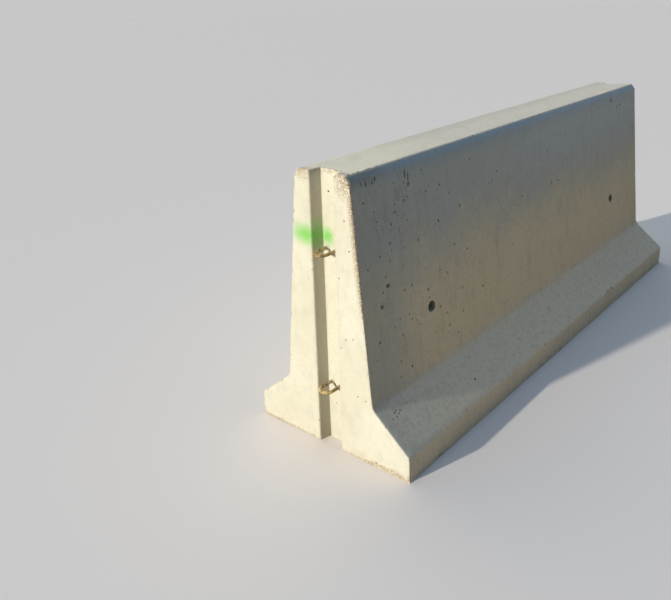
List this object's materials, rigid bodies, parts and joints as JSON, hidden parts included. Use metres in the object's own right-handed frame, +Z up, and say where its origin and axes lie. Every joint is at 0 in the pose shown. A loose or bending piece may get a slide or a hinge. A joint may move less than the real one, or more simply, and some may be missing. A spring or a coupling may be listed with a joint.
{
  "type": "concrete safety barrier",
  "caption": "Free-standing precast concrete safety barrier with sloped sides, a groove down each end and steel coupling loops in the grooves.",
  "frame": {"origin": "middle of the underside, on the surface that the barrier stands on", "axes": "+X along the barrier towards its right end, +Y across it, +Z up; the left end is at -X"},
  "size_m": [2.062, 0.55, 0.81],
  "materials": {
    "concrete": "mould-cast, weathered",
    "rusty_steel": "rusted round bar"
  },
  "bodies": {
    "root": {"barrier_body": "concrete", "left_lower_loop": "rusty_steel", "left_upper_loop": "rusty_steel", "right_lower_loop": "rusty_steel", "right_upper_loop": "rusty_steel"}
  },
  "joints": []
}
